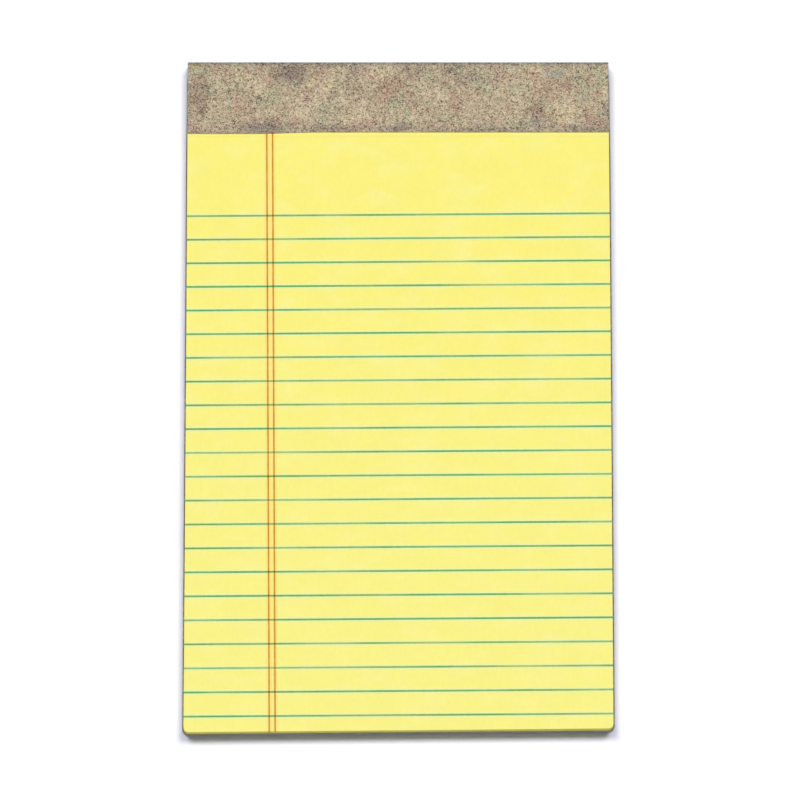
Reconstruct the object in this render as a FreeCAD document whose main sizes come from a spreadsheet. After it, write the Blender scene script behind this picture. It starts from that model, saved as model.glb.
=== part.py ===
"""Junior legal pad: fifty ruled leaves on a chipboard back, stitched and bound at the head.

The pad lies on its back. X runs across the pad, +Y points to its bound head and +Z up
through the leaves. The origin is on the ground at the middle of the pad's outline.
Lengths are in millimetres and angles in degrees.
"""
import FreeCAD, Part
import math
import os
from collections import namedtuple

import Sketcher

Vector = FreeCAD.Vector

SIZES = {
    # Trimmed block: 5 by 8 inches, with the foot cut a little out of square
    "pad_width": 127.0,
    "pad_length": 203.2,
    "foot_skew": 0.505,
    "corner_radius": 1.6,
    # Leaves of 15 lb bond paper, whose cut edges are eased by the guillotine
    "sheet_count": 50,
    "sheet_thickness": 0.092,
    "edge_easing": 0.03,
    # Chipboard back
    "board_thickness": 0.9,
    # Binding strip, folded over the head
    "strip_thickness": 0.15,
    "front_flap": 22.0,
    "back_flap": 22.0,
    # Tear-off perforation below the front flap
    "perf_offset": 0.8,
    "perf_slit": 1.1,
    "perf_bridge": 0.5,
    "perf_width": 0.06,
    # Stitches of flat steel wire under the strip, placed from the pad's sides and its head
    "staple_from_side": 25.5,
    "staple_from_head": 9.5,
    "crown_width": 12.7,
    "clinch_length": 4.5,
    "wire_width": 0.7,
    "wire_thickness": 0.5,
    "wire_clearance": 0.03,
    "bend_radius": 0.2,
}

# Levels through the thickness
BOARD_BOTTOM = "Sizes.strip_thickness"
BOARD_TOP = f"{BOARD_BOTTOM} + Sizes.board_thickness"
STACK_TOP = f"{BOARD_TOP} + Sizes.sheet_count * Sizes.sheet_thickness"
STRIP_TOP = f"{STACK_TOP} + Sizes.strip_thickness"

# Outline of the cut block, placed so that block and spine together are centred on the origin
RIGHT = "Sizes.pad_width / 2"
LEFT = f"-({RIGHT})"
FOOT_RISE = f"{RIGHT} * tan(Sizes.foot_skew)"
FOOT_CORNER_DROP = (
    "(Sizes.pad_width / 2 - Sizes.corner_radius) * tan(Sizes.foot_skew)"
    " + Sizes.corner_radius * (1 / cos(Sizes.foot_skew) - 1)"
)
HEAD = f"(Sizes.pad_length - Sizes.strip_thickness + {FOOT_CORNER_DROP}) / 2"
FOOT_LEFT = f"{HEAD} - Sizes.pad_length - {FOOT_RISE}"
FOOT_RIGHT = f"{HEAD} - Sizes.pad_length + {FOOT_RISE}"

# Stitches: the crown lies flush in the front leaf, the clinched ends flush in the board's back
STITCH_X = f"({RIGHT} - Sizes.staple_from_side)"
STITCH_Y = f"{HEAD} - Sizes.staple_from_head"
OUTER_BEND = "Sizes.bend_radius + Sizes.wire_thickness"
CHANNEL_WIDTH = "Sizes.wire_width + 2 * Sizes.wire_clearance"

# Perforation row, centred on the pad
PERF_Y = f"{HEAD} - Sizes.front_flap - Sizes.perf_offset"
PERF_PITCH = "Sizes.perf_slit + Sizes.perf_bridge"
PERF_COUNT = f"floor((Sizes.pad_width - Sizes.perf_bridge) / ({PERF_PITCH}))"
PERF_FIRST = f"-(({PERF_COUNT} - 1) * ({PERF_PITCH}) + Sizes.perf_slit) / 2"

# A corner of an outline: two expressions, and one for its radius where it is rounded
Corner = namedtuple("Corner", "x y radius", defaults=(None,))
# How a sketch numbers the two ends of a line or arc, and its own origin
START_INDEX, END_INDEX = 1, 2
SKETCH_ORIGIN = (-1, 1)
SAME_PLACE = 1e-6


def make_sizes(doc):
    """Write the driving dimensions into the spreadsheet, one aliased cell each."""
    sheet = doc.addObject("Spreadsheet::Sheet", "Sizes")
    for row, (name, size) in enumerate(SIZES.items(), start=1):
        sheet.set(f"A{row}", name)
        sheet.set(f"B{row}", str(size))
        sheet.setAlias(f"B{row}", name)
    doc.recompute()
    return sheet


def number(doc, expression):
    """The present value of an expression on the sizes."""
    value = doc.getObject("Sizes").evalExpression(expression.replace("Sizes.", ""))
    return float(getattr(value, "Value", value))


def origin_feature(body, role):
    """One of the body's own origin planes or axes."""
    return next(item for item in body.Origin.OriginFeatures if item.Role == role)


def make_body(doc, label):
    """An empty body whose label is the name of its sub-part."""
    body = doc.addObject("PartDesign::Body", label)
    body.Label = label
    return body


def make_sketch(body, name, plane, offset):
    """A sketch on one of the body's origin planes, moved along its normal."""
    sketch = body.newObject("Sketcher::SketchObject", name)
    sketch.AttachmentSupport = [(origin_feature(body, plane), "")]
    sketch.MapMode = "FlatFace"
    sketch.setExpression(".AttachmentOffset.Base.z", offset)
    return sketch


def pin_to_origin(sketch, geometry, point, x, y):
    """Hold one point of a sketch at two expressions, measured from the sketch's origin."""
    doc = sketch.Document
    for kind, expression in (("DistanceX", x), ("DistanceY", y)):
        size = number(doc, expression)
        held = sketch.addConstraint(Sketcher.Constraint(kind, *SKETCH_ORIGIN, geometry, point, size))
        sketch.setExpression(f"Constraints[{held}]", expression)


def bend_at(before, corner, after, radius):
    """Where a radius rounds a corner: its two tangent points, its centre and its sense."""
    back = (before - corner).normalize()
    ahead = (after - corner).normalize()
    half_angle = back.getAngle(ahead) / 2
    reach = radius / math.tan(half_angle)
    centre = corner + (back + ahead).normalize() * (radius / math.sin(half_angle))
    turns_left = back.cross(ahead).z < 0
    return corner + back * reach, corner + ahead * reach, centre, turns_left


def draw_outline(sketch, corners):
    """Draw a closed outline through pinned corners, with tangent arcs at the rounded ones."""
    doc = sketch.Document
    places = [Vector(number(doc, c.x), number(doc, c.y), 0) for c in corners]
    count = len(corners)
    bends = {}
    for i, corner in enumerate(corners):
        if corner.radius:
            radius = number(doc, corner.radius)
            bends[i] = (*bend_at(places[i - 1], places[i], places[(i + 1) % count], radius), radius)

    pins = []
    for corner, place in zip(corners, places):
        pins.append(sketch.addGeometry(Part.Point(place), True))
        pin_to_origin(sketch, pins[-1], START_INDEX, corner.x, corner.y)

    runs = []
    for i in range(count):
        j = (i + 1) % count
        start = bends[i][1] if i in bends else places[i]
        end = bends[j][0] if j in bends else places[j]
        runs.append(sketch.addGeometry(Part.LineSegment(start, end)))
        for corner, point in ((i, START_INDEX), (j, END_INDEX)):
            if corner in bends:
                hold = Sketcher.Constraint("PointOnObject", pins[corner], START_INDEX, runs[i])
            else:
                hold = Sketcher.Constraint("Coincident", pins[corner], START_INDEX, runs[i], point)
            sketch.addConstraint(hold)

    for i, (arrival, departure, centre, turns_left, radius) in bends.items():
        first, last = (arrival, departure) if turns_left else (departure, arrival)
        angles = [math.atan2(p.y - centre.y, p.x - centre.x) for p in (first, last)]
        circle = Part.Circle(centre, Vector(0, 0, 1), radius)
        arc = sketch.addGeometry(Part.ArcOfCircle(circle, *angles))
        near, far = (START_INDEX, END_INDEX) if turns_left else (END_INDEX, START_INDEX)
        sketch.addConstraint(Sketcher.Constraint("Tangent", runs[i - 1], END_INDEX, arc, near))
        sketch.addConstraint(Sketcher.Constraint("Tangent", arc, far, runs[i], START_INDEX))
        held = sketch.addConstraint(Sketcher.Constraint("Radius", arc, radius))
        sketch.setExpression(f"Constraints[{held}]", corners[i].radius)


def rectangle(x_low, x_high, y_low, y_high):
    """The four corners of a rectangle."""
    return [Corner(x_low, y_low), Corner(x_high, y_low), Corner(x_high, y_high), Corner(x_low, y_high)]


def pad_outline(body, name, level):
    """The cut outline that leaves and board share: square head, rounded foot corners."""
    sketch = make_sketch(body, name, "XY_Plane", level)
    draw_outline(sketch, [
        Corner(LEFT, HEAD),
        Corner(LEFT, FOOT_LEFT, "Sizes.corner_radius"),
        Corner(RIGHT, FOOT_RIGHT, "Sizes.corner_radius"),
        Corner(RIGHT, HEAD),
    ])
    return sketch


def add_pad(body, name, sketch, length, symmetric=False):
    """Extrude a sketch along its normal, or both ways from its plane."""
    pad = body.newObject("PartDesign::Pad", name)
    pad.Profile = sketch
    pad.setExpression("Length", length)
    if symmetric:
        pad.SideType = "Symmetric"
    return pad


def add_row(body, name, originals, axis, spacing, count):
    """Repeat features along one of the body's axes; with none named, the whole shape so far."""
    row = body.newObject("PartDesign::LinearPattern", name)
    if originals:
        row.Originals = originals
    else:
        row.TransformMode = "Whole shape"
    row.Direction = (origin_feature(body, axis), [""])
    row.Mode = "Spacing"
    row.setExpression("Offset", spacing)
    row.setExpression("Occurrences", count)
    body.Tip = row
    return row


def add_mirror(body, name, originals):
    """Repeat features on the other side of the pad's middle plane."""
    mirror = body.newObject("PartDesign::Mirrored", name)
    mirror.Originals = originals
    mirror.MirrorPlane = (origin_feature(body, "YZ_Plane"), [""])
    body.Tip = mirror
    return mirror


def check_cut(doc, body, before, name):
    """Stop if the last cut took nothing away."""
    doc.recompute()
    after = body.Shape.Volume
    if not after < before:
        raise RuntimeError(f"{name} cut nothing from {body.Label}")
    return after


def stitch_outline(body, name, gap, outer_bend):
    """The right stitch seen from the foot: a flat wire bent into legs, crown and clinched ends.

    gap widens the outline all round but for the two faces where the wire lies flush.
    """
    left, right = f"{STITCH_X} - Sizes.crown_width / 2", f"{STITCH_X} + Sizes.crown_width / 2"
    side = f"Sizes.wire_thickness / 2 + {gap}"
    tip = f"Sizes.clinch_length + {gap}"
    crown_under = f"{STACK_TOP} - Sizes.wire_thickness - {gap}"
    clinch_over = f"{BOARD_BOTTOM} + Sizes.wire_thickness + {gap}"
    inner_bend = "Sizes.bend_radius"
    sketch = make_sketch(body, name, "XZ_Plane", f"-({STITCH_Y})")
    draw_outline(sketch, [
        Corner(f"{left} + {tip}", BOARD_BOTTOM),
        Corner(f"{left} - ({side})", BOARD_BOTTOM, outer_bend),
        Corner(f"{left} - ({side})", STACK_TOP, outer_bend),
        Corner(f"{right} + {side}", STACK_TOP, outer_bend),
        Corner(f"{right} + {side}", BOARD_BOTTOM, outer_bend),
        Corner(f"{right} - ({tip})", BOARD_BOTTOM),
        Corner(f"{right} - ({tip})", clinch_over),
        Corner(f"{right} - ({side})", clinch_over, inner_bend),
        Corner(f"{right} - ({side})", crown_under, inner_bend),
        Corner(f"{left} + {side}", crown_under, inner_bend),
        Corner(f"{left} + {side}", clinch_over, inner_bend),
        Corner(f"{left} + {tip}", clinch_over),
    ])
    return sketch


def cut_stitch_channels(doc, body):
    """Cut what the two stitches pass through and lie in, with their clearance all round."""
    volume = body.Shape.Volume
    outline = stitch_outline(body, "ChannelOutline", "Sizes.wire_clearance", None)
    channel = body.newObject("PartDesign::Pocket", "StitchChannel")
    channel.Profile = outline
    channel.SideType = "Symmetric"
    channel.setExpression("Length", CHANNEL_WIDTH)
    volume = check_cut(doc, body, volume, "StitchChannel")
    add_mirror(body, "BothChannels", [channel])
    check_cut(doc, body, volume, "BothChannels")


def make_sheet_stack(doc):
    """Fifty leaves in one block: each leaf's lower edge is eased, so the cut sides show leaf by leaf."""
    body = make_body(doc, "sheet_stack")
    outline = pad_outline(body, "LeafOutline", BOARD_TOP)
    leaf = add_pad(body, "Leaf", outline, "Sizes.sheet_thickness")
    doc.recompute()

    # The easing runs down the left side, round the foot and up the right side, not along the glued head
    bottom, head = number(doc, BOARD_TOP), number(doc, HEAD)
    eased = []
    for i, edge in enumerate(leaf.Shape.Edges, start=1):
        box = edge.BoundBox
        lies_at_bottom = abs(box.ZMin - bottom) < SAME_PLACE and box.ZLength < SAME_PLACE
        lies_at_head = abs(box.YMin - head) < SAME_PLACE
        if lies_at_bottom and not lies_at_head:
            eased.append(f"Edge{i}")
    easing = body.newObject("PartDesign::Chamfer", "EdgeEasing")
    easing.Base = (leaf, eased)
    easing.setExpression("Size", "Sizes.edge_easing")
    doc.recompute()
    add_row(body, "Leaves", None, "Z_Axis", "Sizes.sheet_thickness", "Sizes.sheet_count")
    doc.recompute()

    cut_stitch_channels(doc, body)

    volume = body.Shape.Volume
    slit = make_sketch(body, "PerforationSlit", "XY_Plane", STACK_TOP)
    draw_outline(slit, rectangle(
        PERF_FIRST, f"{PERF_FIRST} + Sizes.perf_slit",
        f"{PERF_Y} - Sizes.perf_width / 2", f"{PERF_Y} + Sizes.perf_width / 2"))
    first = body.newObject("PartDesign::Pocket", "FirstPerforation")
    first.Profile = slit
    first.Type = "ThroughAll"
    volume = check_cut(doc, body, volume, "FirstPerforation")
    add_row(body, "Perforation", [first], "X_Axis", PERF_PITCH, PERF_COUNT)
    check_cut(doc, body, volume, "Perforation")
    return body


def make_backing_board(doc):
    """Chipboard cut in one stroke with the leaves, slotted where the stitches clinch."""
    body = make_body(doc, "backing_board")
    outline = pad_outline(body, "BoardOutline", BOARD_BOTTOM)
    add_pad(body, "Board", outline, "Sizes.board_thickness")
    doc.recompute()
    cut_stitch_channels(doc, body)
    return body


def make_binding_strip(doc):
    """One strip of paper: front flap, spine over the head and back flap, its folds creased round."""
    body = make_body(doc, "binding_strip")
    sketch = make_sketch(body, "StripSection", "YZ_Plane", "0")
    front_edge = f"{HEAD} - Sizes.front_flap"
    back_edge = f"{HEAD} - Sizes.back_flap"
    spine = f"{HEAD} + Sizes.strip_thickness"
    draw_outline(sketch, [
        Corner(front_edge, STACK_TOP),
        Corner(HEAD, STACK_TOP),
        Corner(HEAD, BOARD_BOTTOM),
        Corner(back_edge, BOARD_BOTTOM),
        Corner(back_edge, "0"),
        Corner(spine, "0", "Sizes.strip_thickness"),
        Corner(spine, STRIP_TOP, "Sizes.strip_thickness"),
        Corner(front_edge, STRIP_TOP),
    ])
    add_pad(body, "Strip", sketch, "Sizes.pad_width", symmetric=True)
    doc.recompute()
    return body


def make_staple(doc, label, on_left):
    """One stitch of flat steel wire, driven from the front and clinched inwards on the back."""
    body = make_body(doc, label)
    outline = stitch_outline(body, "WireOutline", "0", OUTER_BEND)
    add_pad(body, "Wire", outline, "Sizes.wire_width", symmetric=True)
    if on_left:
        body.setExpression(".Placement.Base.x", f"-2 * {STITCH_X}")
    doc.recompute()
    return body


def check_document(doc, bodies):
    """Stop if any object failed to recompute or any sub-part is not one sound solid."""
    for item in doc.Objects:
        if "Invalid" in item.State or "Error" in item.State:
            raise RuntimeError(f"{item.Name} failed: {item.State}")
    for body in bodies:
        shape = body.Shape
        if shape.isNull() or not shape.isValid() or len(shape.Solids) != 1:
            raise RuntimeError(f"{body.Label} is not one valid solid")
        box = shape.BoundBox
        print(f"{body.Label}: {shape.Volume:.2f} mm3, {len(shape.Faces)} faces,"
              f" x {box.XMin:.3f} to {box.XMax:.3f}, y {box.YMin:.3f} to {box.YMax:.3f},"
              f" z {box.ZMin:.3f} to {box.ZMax:.3f}")


def main():
    """Build the pad's five pieces and write each one to its own file."""
    doc = FreeCAD.newDocument("LegalPad")
    make_sizes(doc)
    bodies = [
        make_backing_board(doc),
        make_sheet_stack(doc),
        make_binding_strip(doc),
        make_staple(doc, "staple_left", on_left=True),
        make_staple(doc, "staple_right", on_left=False),
    ]
    doc.recompute()
    check_document(doc, bodies)
    os.makedirs("parts", exist_ok=True)
    for body in bodies:
        body.Shape.exportStep(os.path.join("parts", f"{body.Label}.step"))


main()
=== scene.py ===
"""A junior legal pad on its back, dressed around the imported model.

Meshes are built in millimetres and scaled to metres at the end. X runs across the pad,
+Y points to its bound head and +Z up through the leaves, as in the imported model.
"""
import logging
import math
from dataclasses import dataclass, field
from enum import Enum
from typing import NamedTuple, Sequence

import bmesh
import bpy
from mathutils import Matrix, Vector, noise


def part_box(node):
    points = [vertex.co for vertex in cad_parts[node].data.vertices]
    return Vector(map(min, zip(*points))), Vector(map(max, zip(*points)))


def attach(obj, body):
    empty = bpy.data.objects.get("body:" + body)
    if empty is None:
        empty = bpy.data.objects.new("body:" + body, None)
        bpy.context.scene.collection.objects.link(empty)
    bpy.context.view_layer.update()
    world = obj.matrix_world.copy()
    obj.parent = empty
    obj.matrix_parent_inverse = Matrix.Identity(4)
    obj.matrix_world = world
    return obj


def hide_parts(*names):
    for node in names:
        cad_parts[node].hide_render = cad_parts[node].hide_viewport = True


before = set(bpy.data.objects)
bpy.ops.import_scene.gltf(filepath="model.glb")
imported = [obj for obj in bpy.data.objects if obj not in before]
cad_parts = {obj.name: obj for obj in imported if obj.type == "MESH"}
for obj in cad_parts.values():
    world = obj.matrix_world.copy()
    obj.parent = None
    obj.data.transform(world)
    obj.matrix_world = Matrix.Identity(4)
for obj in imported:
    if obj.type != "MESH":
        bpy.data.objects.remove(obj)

log = logging.getLogger("legal_pad")

MM = 0.001
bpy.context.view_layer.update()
ROOT = "root"

# The Mix node's colours go by number, because its names come more than once
UNDER = 6
OVER = 7
MIXED = 2

# A patch of noise is about half a wave wide, and each octave is 0.6 of the one before
HALF_WAVE = 0.5
OCTAVE_FADE = 0.6

Socket = bpy.types.NodeSocket
Colour = tuple[float, float, float, float]


# Units, colours and nodes

class Span(NamedTuple):
    """Where a share starts and ends along a value, and its least and most."""

    start: float
    end: float
    least: float = 0.0
    most: float = 1.0


class Pattern(NamedTuple):
    """A noise's patch width in millimetres, its octaves, and how much longer it is along each axis."""

    size: float
    detail: float = 2.0
    stretch: tuple[float, float, float] = (1.0, 1.0, 1.0)


class Warp(NamedTuple):
    """How far a noise moves places, in millimetres, its waves in a millimetre, and its octaves."""

    reach: float
    wave: float
    detail: float


def linear(hex_colour: str) -> Colour:
    """Turn an sRGB hex colour into linear RGBA.

    Args:
        hex_colour: Six hex digits with a leading hash.

    Returns:
        Red, green, blue and an alpha of 1.
    """
    channels = [int(hex_colour[i:i + 2], 16) / 255 for i in (1, 3, 5)]
    red, green, blue = [
        c / 12.92 if c <= 0.04045 else ((c + 0.055) / 1.055) ** 2.4 for c in channels
    ]
    return red, green, blue, 1.0


@dataclass(frozen=True)
class Nodes:
    """The node tree of a material or of the world, and the steps that finishes share."""

    tree: bpy.types.NodeTree

    def add(self, kind: str, *values, sockets: dict | None = None, out: int | str = 0,
            **settings) -> Socket | None:
        """Add a node with its settings, and link or set its inputs.

        Args:
            kind: The node's type, without its ShaderNode prefix.
            *values: Sockets to link, or values to set, for the first inputs in order.
            sockets: The same for inputs that are named, or numbered farther on.
            out: The output to give back, by number or name.
            **settings: Properties of the node itself.

        Returns:
            That output, or nothing for a node that has none.
        """
        node = self.tree.nodes.new(f"ShaderNode{kind}")
        for name, value in settings.items():
            setattr(node, name, value)
        for key, value in [*enumerate(values), *(sockets or {}).items()]:
            if isinstance(value, Socket):
                self.tree.links.new(value, node.inputs[key])
            else:
                node.inputs[key].default_value = value
        return node.outputs[out] if node.outputs else None

    def millimetres(self) -> Socket:
        """Give the place on the object in millimetres."""
        place = self.add("TexCoord", out="Object")
        return self.add("VectorMath", place, sockets={"Scale": 1 / MM}, operation="SCALE")

    def speckle(self, place: Socket, pattern: Pattern) -> Socket:
        """Give a noise whose patches have a real size.

        Args:
            place: The place in millimetres.
            pattern: The patches' size, detail and stretch.

        Returns:
            The noise, from 0 to 1 about 0.5.
        """
        squeeze = tuple(1 / stretch for stretch in pattern.stretch)
        squeezed = self.add("VectorMath", place, squeeze, operation="MULTIPLY")
        inputs = {
            "Vector": squeezed,
            "Scale": HALF_WAVE / pattern.size,
            "Detail": pattern.detail,
            "Roughness": OCTAVE_FADE,
        }
        return self.add("TexNoise", sockets=inputs, out="Fac")

    def warped(self, place: Socket, warp: Warp) -> Socket:
        """Move places about by a noise, so that what is drawn there gets ragged borders.

        Args:
            place: The place in millimetres.
            warp: How far and how finely they move.

        Returns:
            The moved place, which lies half the reach farther on average.
        """
        inputs = {"Vector": place, "Scale": warp.wave, "Detail": warp.detail}
        shift = self.add("TexNoise", sockets=inputs, out="Color")
        return self.add("VectorMath", shift, (warp.reach,) * 3, place, operation="MULTIPLY_ADD")

    def layer(self, under: Socket | Colour, over: Socket | str, value: Socket, span: Span,
              limit: Socket | None = None, how: str = "MIX") -> Socket:
        """Lay a colour over another where a value lies in a span.

        Args:
            under: The colour so far.
            over: The upper colour, as a socket or an sRGB hex value.
            value: What the upper colour's share is read from.
            span: How the share follows it.
            limit: A share that holds the first one back, if there is one.
            how: Blender's blend type.

        Returns:
            The mixed colour.
        """
        share = self.add("MapRange", value, *span, interpolation_type="SMOOTHSTEP")
        if limit is not None:
            share = self.add("Math", share, limit, operation="MULTIPLY")
        upper = linear(over) if isinstance(over, str) else over
        colours = {UNDER: under, OVER: upper}
        return self.add("Mix", share, sockets=colours, out=MIXED, data_type="RGBA", blend_type=how)


def new_material(name: str) -> tuple[bpy.types.Material, Nodes]:
    """Make an empty node material.

    Args:
        name: What the material is called.

    Returns:
        The material and its cleared node tree.
    """
    material = bpy.data.materials.new(name)
    material.use_nodes = True
    material.node_tree.nodes.clear()
    return material, Nodes(material.node_tree)


# Meshes

def corners(name: str) -> tuple[Vector, Vector]:
    """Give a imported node's lowest and highest corners.

    Args:
        name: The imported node.

    Returns:
        Both corners in millimetres.
    """
    low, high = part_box(name)
    return low / MM, high / MM


def join_rows(shape: bmesh.types.BMesh, rows: Sequence, material: int = 0, closed: bool = False) -> None:
    """Join neighbouring rows of points into faces.

    Args:
        shape: The mesh.
        rows: Rows of as many points each. Where points are shared, a face has fewer corners.
        material: The faces' material number.
        closed: Whether a row runs all round, so that its last point meets its first.
    """
    for here, there in zip(rows, rows[1:]):
        for i in range(len(here) if closed else len(here) - 1):
            j = (i + 1) % len(here)
            spots = dict.fromkeys((here[i], here[j], there[j], there[i]))
            if len(spots) > 2:
                shape.faces.new(tuple(spots)).material_index = material


def new_piece(name: str, shape: bmesh.types.BMesh,
              materials: Sequence[bpy.types.Material]) -> bpy.types.Object:
    """Turn a shape in millimetres into an object in metres.

    Args:
        name: The piece's name.
        shape: Its mesh, which is freed.
        materials: Its materials, in the order of the faces' material numbers.

    Returns:
        The object, linked to the scene.
    """
    bmesh.ops.recalc_face_normals(shape, faces=shape.faces)
    shape.transform(Matrix.Scale(MM, 4))
    mesh = bpy.data.meshes.new(name)
    shape.to_mesh(mesh)
    shape.free()
    for material in materials:
        mesh.materials.append(material)
    piece = bpy.data.objects.new(name, mesh)
    bpy.context.scene.collection.objects.link(piece)
    return piece


# Finishes. Paper and board are cellulose, so their IOR is 1.5, with a weak, broad sheen.

@dataclass(frozen=True)
class Finish:
    """What every finish shares: its name, how its surface answers light, and its relief.

    The sheen is how far the roughness swings about its middle along a noise. The relief's height
    is in millimetres.
    """

    name: str
    roughness: float = 0.85
    ior: float = 1.5
    specular: float = 0.3
    sheen: Span = Span(0.3, 0.7, -0.05, 0.07)
    relief: float = 0.15
    relief_height: float = 0.02

    def surface(self, nodes: Nodes, colour: Socket, height: Socket | None = None,
                gloss: Socket | None = None, metallic: float = 0.0) -> None:
        """Finish the tree with a principled surface.

        Args:
            nodes: The material's node tree.
            colour: The colour over the surface.
            height: The relief, from 0 to 1, if there is one.
            gloss: The noise that the roughness swings along, if it does.
            metallic: 1 for bare metal.
        """
        inputs = {
            "Base Color": colour,
            "Roughness": self.roughness,
            "IOR": self.ior,
            "Specular IOR Level": self.specular,
            "Metallic": metallic,
        }
        if height is not None:
            relief = {"Strength": self.relief, "Distance": self.relief_height * MM, "Height": height}
            inputs["Normal"] = nodes.add("Bump", sockets=relief)
        if gloss is not None:
            start, end, least, most = self.sheen
            swing = Span(start, end, self.roughness + least, self.roughness + most)
            inputs["Roughness"] = nodes.add("MapRange", gloss, *swing, interpolation_type="SMOOTHSTEP")
        shader = nodes.add("BsdfPrincipled", sockets=inputs)
        nodes.add("OutputMaterial", sockets={"Surface": shader})


@dataclass(frozen=True)
class Ruling:
    """Where the press put the lines on a leaf, in millimetres, and how much it was askew."""

    pitch: float = 7.225
    count: int = 22
    below_head: float = 46.94
    line_width: float = 0.55
    margin_width: float = 0.47
    margins: tuple[float, float] = (24.57, 26.31)
    skew: float = 0.42

    def distances(self, nodes: Nodes, place: Socket, low: Vector, high: Vector) -> tuple[Socket, Socket]:
        """Work out how far a place is from the nearest ruling and the nearest margin line.

        Args:
            nodes: The material's node tree.
            place: The place in millimetres.
            low: The block's lowest corner.
            high: The block's highest corner.

        Returns:
            Both distances in millimetres.
        """
        turn = {"Vector": place, "Angle": -math.radians(self.skew)}
        turned = nodes.add("VectorRotate", sockets=turn, rotation_type="Z_AXIS")
        across, along, _ = nodes.add("SeparateXYZ", turned).node.outputs
        from_first = nodes.add("Math", high.y - self.below_head, along, operation="SUBTRACT")
        steps = nodes.add("Math", from_first, self.pitch, operation="DIVIDE")
        nearest = nodes.add("Math", steps, operation="ROUND")
        held = nodes.add("Clamp", nearest, 0.0, self.count - 1.0)
        off = nodes.add("Math", steps, held, operation="SUBTRACT")
        apart = nodes.add("Math", off, operation="ABSOLUTE")
        to_ruling = nodes.add("Math", apart, self.pitch, operation="MULTIPLY")
        gaps = []
        for margin in self.margins:
            off = nodes.add("Math", across, low.x + margin, operation="SUBTRACT")
            gaps.append(nodes.add("Math", off, operation="ABSOLUTE"))
        return to_ruling, nodes.add("Math", *gaps, operation="MINIMUM")


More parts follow.
